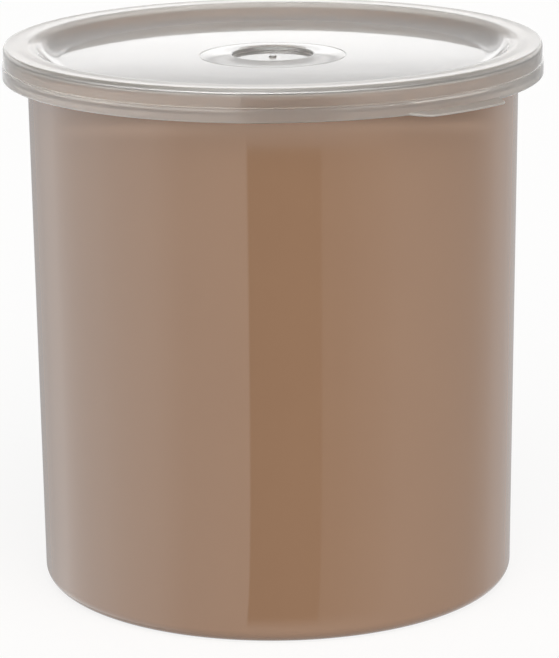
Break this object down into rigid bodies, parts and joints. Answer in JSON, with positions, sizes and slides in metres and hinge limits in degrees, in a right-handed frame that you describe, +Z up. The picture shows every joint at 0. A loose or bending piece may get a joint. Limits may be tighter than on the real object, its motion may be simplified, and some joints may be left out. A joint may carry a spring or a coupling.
{
  "type": "condiment crock",
  "caption": "Round straight-sided plastic condiment crock with a turned-down rim and a translucent press-fit lid that has a recessed top and a pull tab.",
  "frame": {"origin": "centre of the foot, on the surface the crock stands on", "axes": "+Z up along the axis of the pot, -Y towards the front; the lid's pull tab points to the front right"},
  "size_m": [0.168, 0.168, 0.1716],
  "materials": {
    "crock": "smooth glossy moulded plastic, tan",
    "lid": "translucent milky polyethylene, satin gloss"
  },
  "bodies": {
    "crock": {"crock": "crock"},
    "lid": {"lid": "lid"}
  },
  "joints": [
    {"name": "lid_lift", "type": "slide", "parent": "crock", "child": "lid", "axis": [0, 0, 1], "range_m": [0, 0.1]}
  ]
}
